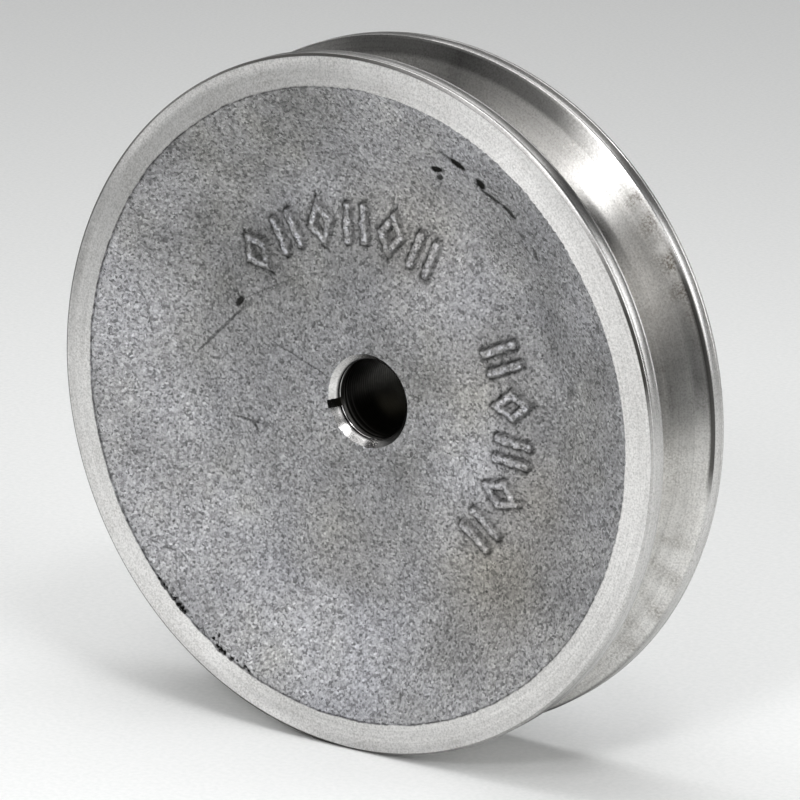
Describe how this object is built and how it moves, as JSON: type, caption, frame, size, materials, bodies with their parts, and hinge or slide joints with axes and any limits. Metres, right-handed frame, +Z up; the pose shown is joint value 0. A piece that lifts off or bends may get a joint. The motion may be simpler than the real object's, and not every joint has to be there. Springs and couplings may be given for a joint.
{
  "type": "v belt pulley",
  "caption": "Cast aluminium V belt pulley with a dished web, turned single-groove rim, steel sleeved bore and set screws in a rear hub.",
  "frame": {"origin": "on the spin axis, at the middle of the belt groove", "axes": "+Y along the spin axis, out of the rear hub; the dished and marked front faces -Y; +Z up, through one set screw; +X to the right seen from the front, through the other"},
  "size_m": [0.137, 0.0367, 0.137],
  "materials": {
    "cast_aluminium": "as-cast web, turned and polished rim",
    "sleeve_steel": "bored, dark, lightly oiled",
    "screw_steel": "black oxide"
  },
  "bodies": {
    "pulley": {"pulley_casting": "cast_aluminium", "bore_sleeve": "sleeve_steel"},
    "top_screw": {"set_screw_top": "screw_steel"},
    "side_screw": {"set_screw_side": "screw_steel"}
  },
  "joints": [
    {"name": "top_screw_travel", "type": "slide", "parent": "pulley", "child": "top_screw", "axis": [0, 0, 1], "range_m": [-0.0004, 0.0065]},
    {"name": "side_screw_travel", "type": "slide", "parent": "pulley", "child": "side_screw", "axis": [1, 0, 0], "range_m": [-0.0004, 0.0065]}
  ]
}
